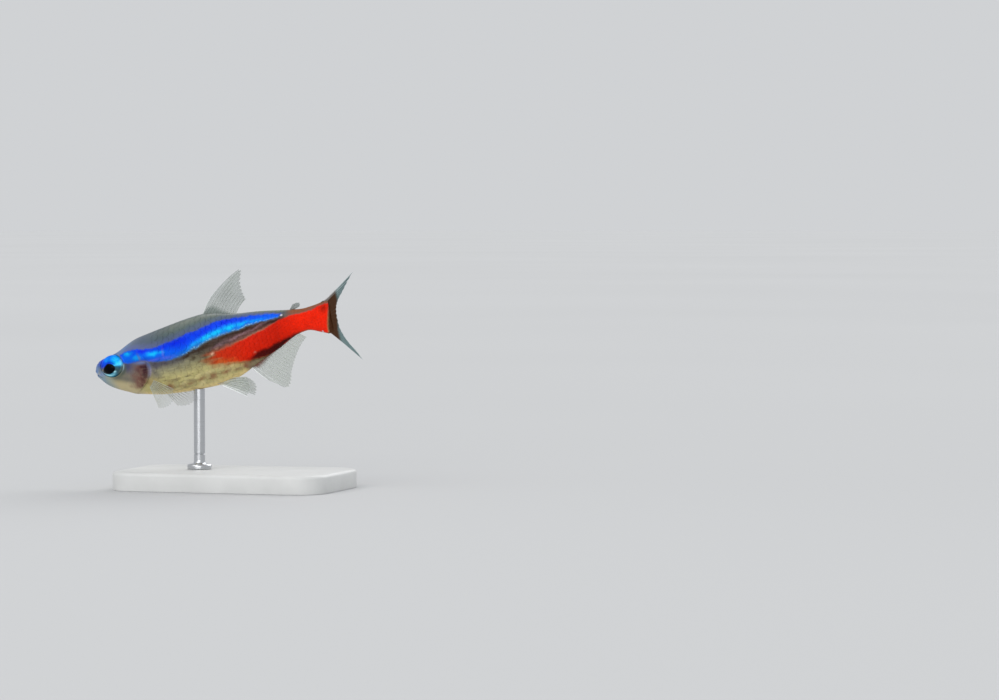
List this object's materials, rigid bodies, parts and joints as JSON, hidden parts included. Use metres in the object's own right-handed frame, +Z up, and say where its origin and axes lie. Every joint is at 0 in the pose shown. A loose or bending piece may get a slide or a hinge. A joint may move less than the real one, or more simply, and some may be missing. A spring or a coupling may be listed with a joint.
{
  "type": "neon tetra",
  "caption": "Life-size neon tetra turning as it swims, whole fish with all its fins, held on a small rod above a flat display base.",
  "frame": {"origin": "on the floor under the middle of the model's box, at the centre of the base's underside", "axes": "+Z up; +X from the head towards the tail; the fish's left side faces -Y"},
  "size_m": [0.032, 0.015, 0.0236],
  "materials": {
    "skin_head": "smooth wet skin, silvery cheek under an olive back",
    "skin_trunk": "fine scales, blue iridescent stripe between an olive back and a cream belly",
    "skin_tail": "fine scales over vivid red flesh",
    "eye": "glossy eye, blue and silver iris round a black pupil",
    "fin": "thin translucent membrane between fine rays",
    "stand_base": "aluminium plate in satin off-white lacquer with softened edges",
    "stand_rod": "fine turned steel"
  },
  "bodies": {
    "root": {"head": "skin_head", "trunk": "skin_trunk", "tail_stem": "skin_tail", "eye_left": "eye", "eye_right": "eye", "dorsal_fin": "fin", "adipose_fin": "fin", "anal_fin": "fin", "caudal_lobe_upper": "fin", "caudal_lobe_lower": "fin", "pectoral_fin_left": "fin", "pectoral_fin_right": "fin", "pelvic_fin_left": "fin", "pelvic_fin_right": "fin", "stand_base": "stand_base", "stand_rod": "stand_rod"}
  },
  "joints": []
}
